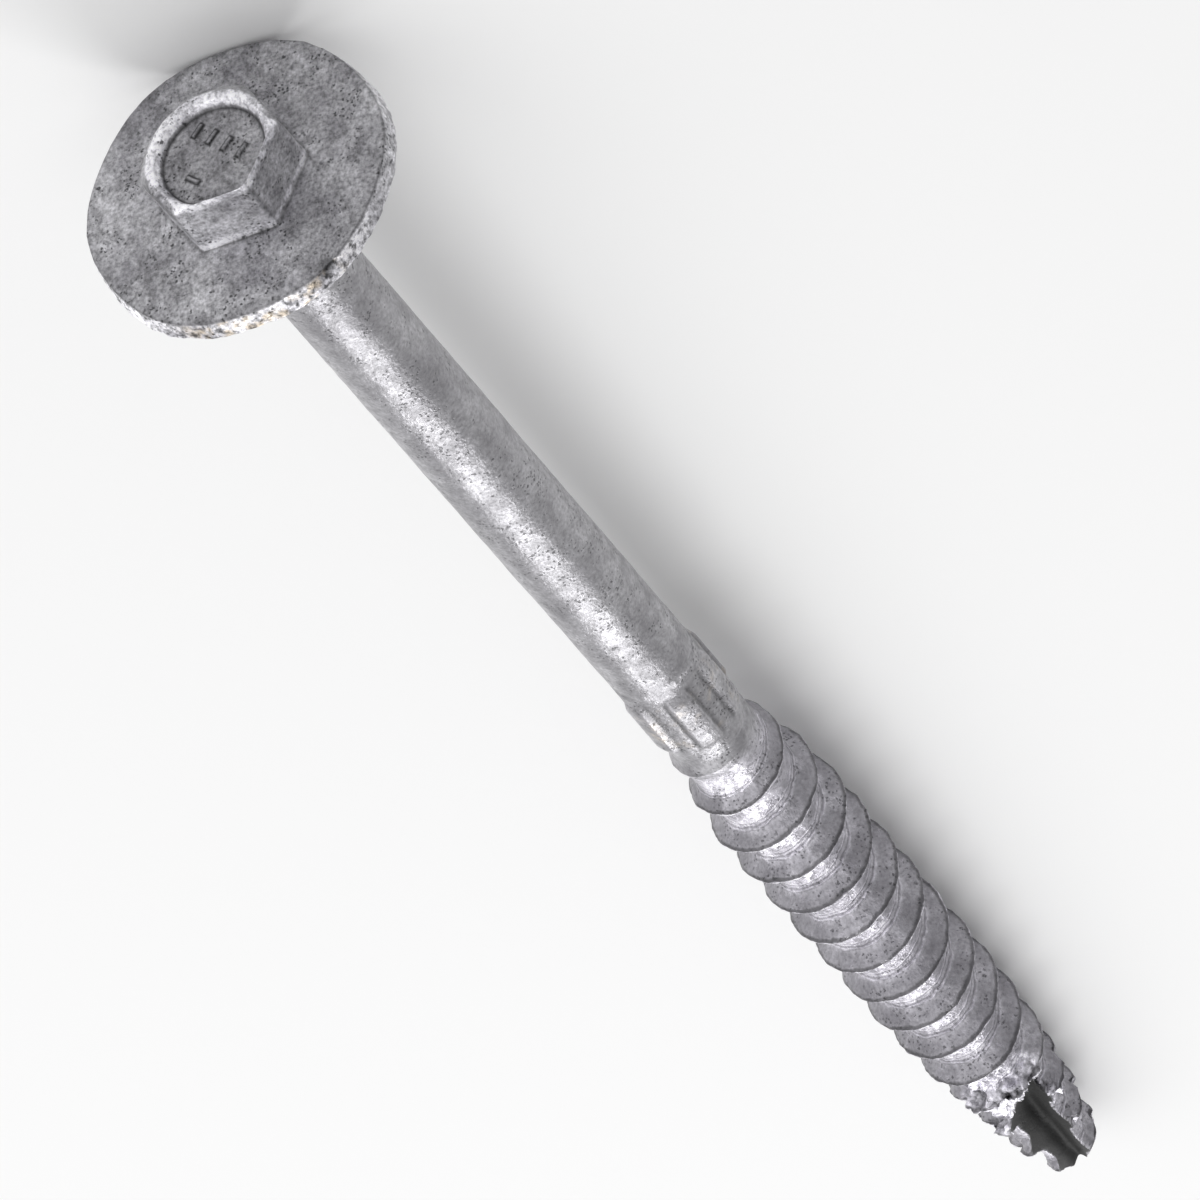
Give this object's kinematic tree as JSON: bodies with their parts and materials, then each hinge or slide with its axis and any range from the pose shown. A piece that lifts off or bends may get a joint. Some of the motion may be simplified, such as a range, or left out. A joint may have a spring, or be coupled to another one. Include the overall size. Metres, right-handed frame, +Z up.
{
  "type": "structural screw",
  "caption": "Galvanised structural timber screw: hex drive forged on a broad washer, plain shank, reaming ribs, coarse right-hand thread with a saw-toothed, fluted point.",
  "frame": {"origin": "centre of the resting object's footprint box, at floor level", "axes": "+Z up from the floor; +X along the screw towards its point, which dips by about 3 degrees because the screw rests on its washer's edge and on a thread crest near the point"},
  "size_m": [0.1592, 0.0232, 0.0228],
  "materials": {
    "zinc": "hot-dip galvanised, mottled grey"
  },
  "bodies": {
    "root": {"screw": "zinc"}
  },
  "joints": []
}
